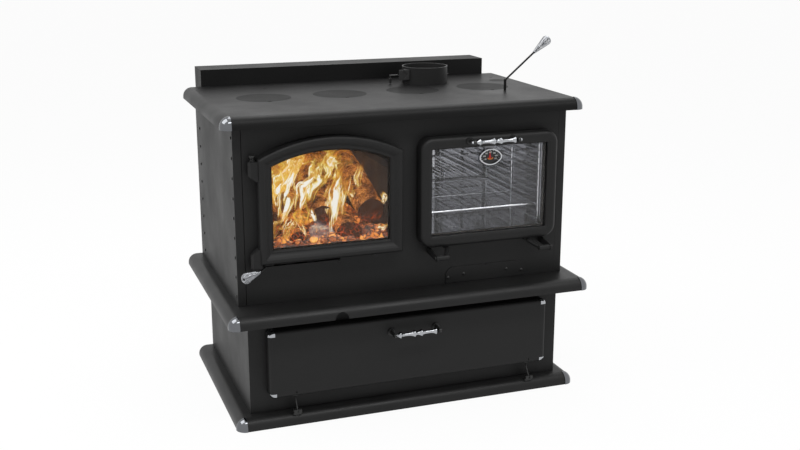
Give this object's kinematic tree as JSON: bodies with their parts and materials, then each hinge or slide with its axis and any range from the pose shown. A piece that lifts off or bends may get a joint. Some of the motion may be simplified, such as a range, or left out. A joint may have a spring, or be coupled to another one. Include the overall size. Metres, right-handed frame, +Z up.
{
  "type": "wood cookstove",
  "caption": "Free-standing wood-burning cookstove with glazed firebox and oven doors, lift-off cooking lids, flue collar with damper and a storage plinth.",
  "frame": {"origin": "on the floor, in the middle of the stove's plan", "axes": "+X to the right as seen from the front, -Y towards the front, +Z up"},
  "size_m": [1.144, 0.816, 1.0979],
  "materials": {
    "black_paint": "matte black stove paint on sheet steel",
    "black_casting": "matte black stove paint on cast iron",
    "cook_surface": "seasoned satin cast iron",
    "nickel": "bright nickel plate",
    "firebox_steel": "soot-darkened plate steel",
    "firebrick": "rough pale firebrick",
    "tube_steel": "heat-dulled stainless",
    "oven_steel": "polished stainless",
    "rack_wire": "bright plated wire",
    "clear_glass": "clear ceramic glass",
    "rope_seal": "braided glass-fibre rope",
    "dial_black": "satin black enamel",
    "pointer_red": "satin red enamel"
  },
  "bodies": {
    "stove": {"base_plate": "black_paint", "base_corner_caps": "nickel", "plinth_panels": "black_paint", "plinth_front": "black_paint", "storage_floor": "black_paint", "shelf_plate": "black_paint", "shelf_corner_caps": "nickel", "body_sides": "black_paint", "body_back": "black_paint", "front_panel": "black_paint", "screws": "black_paint", "cooktop": "cook_surface", "cooktop_corner_caps": "nickel", "rear_heat_shield": "black_paint", "flue_collar": "black_casting", "damper_bracket": "black_casting", "inspection_plug": "cook_surface", "lever_bushing": "black_casting", "firebox_shell": "firebox_steel", "firebricks": "firebrick", "baffle": "firebrick", "air_tubes": "tube_steel", "oven_liner": "oven_steel", "oven_guides": "rack_wire", "soot_cover": "black_paint", "fire_hinge_ears": "black_casting", "fire_hinge_pins": "black_casting", "oven_hinge_brackets": "black_paint", "storage_hinge_blocks": "black_paint"},
    "fire_door": {"fire_door_frame": "black_casting", "fire_door_glass": "clear_glass", "fire_door_gasket": "rope_seal", "fire_door_retainer": "black_paint"},
    "oven_door": {"oven_door_frame": "black_casting", "oven_door_glass": "clear_glass", "oven_door_retainer": "black_paint", "oven_handle_posts": "black_paint", "oven_handle_grip": "nickel", "oven_hinge_arms": "black_paint", "thermometer_case": "nickel", "thermometer_dial": "dial_black"},
    "thermometer_pointer": {"thermometer_pointer": "pointer_red"},
    "storage_door": {"storage_door_pan": "black_paint", "storage_door_trims": "nickel", "storage_handle_posts": "black_paint", "storage_handle_grip": "nickel", "storage_hinge_arms": "black_paint"},
    "damper": {"damper_spindle": "black_paint", "damper_vane": "black_casting"},
    "bypass_lever": {"bypass_rod": "black_paint", "bypass_grip": "nickel", "bypass_gate": "black_casting"},
    "air_control": {"air_slide": "black_paint", "air_grip": "nickel"},
    "oven_rack": {"oven_rack": "rack_wire"},
    "lid_1": {"lid_1": "cook_surface"},
    "lid_2": {"lid_2": "cook_surface"},
    "lid_3": {"lid_3": "cook_surface"},
    "lid_4": {"lid_4": "cook_surface"}
  },
  "joints": [
    {"name": "fire_door_hinge", "type": "hinge", "parent": "stove", "child": "fire_door", "pos_m": [-0.472, -0.316, 0.64], "axis": [0, 0, -1], "range_deg": [0, 110]},
    {"name": "oven_door_hinge", "type": "hinge", "parent": "stove", "child": "oven_door", "pos_m": [0.254, -0.374, 0.4765], "axis": [1, 0, 0], "range_deg": [0, 90]},
    {"name": "thermometer_turn", "type": "hinge", "parent": "oven_door", "child": "thermometer_pointer", "pos_m": [0.254, -0.3262, 0.765], "axis": [0, 1, 0], "range_deg": [-120, 120]},
    {"name": "storage_door_hinge", "type": "hinge", "parent": "stove", "child": "storage_door", "pos_m": [0, -0.355, 0.043], "axis": [1, 0, 0], "range_deg": [0, 85]},
    {"name": "damper_turn", "type": "hinge", "parent": "stove", "child": "damper", "pos_m": [0.225, 0.1495, 0.954], "axis": [1, 0, 0], "range_deg": [0, 90]},
    {"name": "bypass_turn", "type": "hinge", "parent": "stove", "child": "bypass_lever", "pos_m": [0.398, -0.115, 0.93], "axis": [0, 0, -1], "range_deg": [0, 90]},
    {"name": "air_slide_move", "type": "slide", "parent": "stove", "child": "air_control", "axis": [1, 0, 0], "range_m": [0, 0.19]},
    {"name": "oven_rack_slide", "type": "slide", "parent": "stove", "child": "oven_rack", "axis": [0, -1, 0], "range_m": [0, 0.02]},
    {"name": "lid_1_lift", "type": "slide", "parent": "stove", "child": "lid_1", "axis": [0, 0, 1], "range_m": [0, 0.15]},
    {"name": "lid_2_lift", "type": "slide", "parent": "stove", "child": "lid_2", "axis": [0, 0, 1], "range_m": [0, 0.15]},
    {"name": "lid_3_lift", "type": "slide", "parent": "stove", "child": "lid_3", "axis": [0, 0, 1], "range_m": [0, 0.15]},
    {"name": "lid_4_lift", "type": "slide", "parent": "stove", "child": "lid_4", "axis": [0, 0, 1], "range_m": [0, 0.15]}
  ]
}
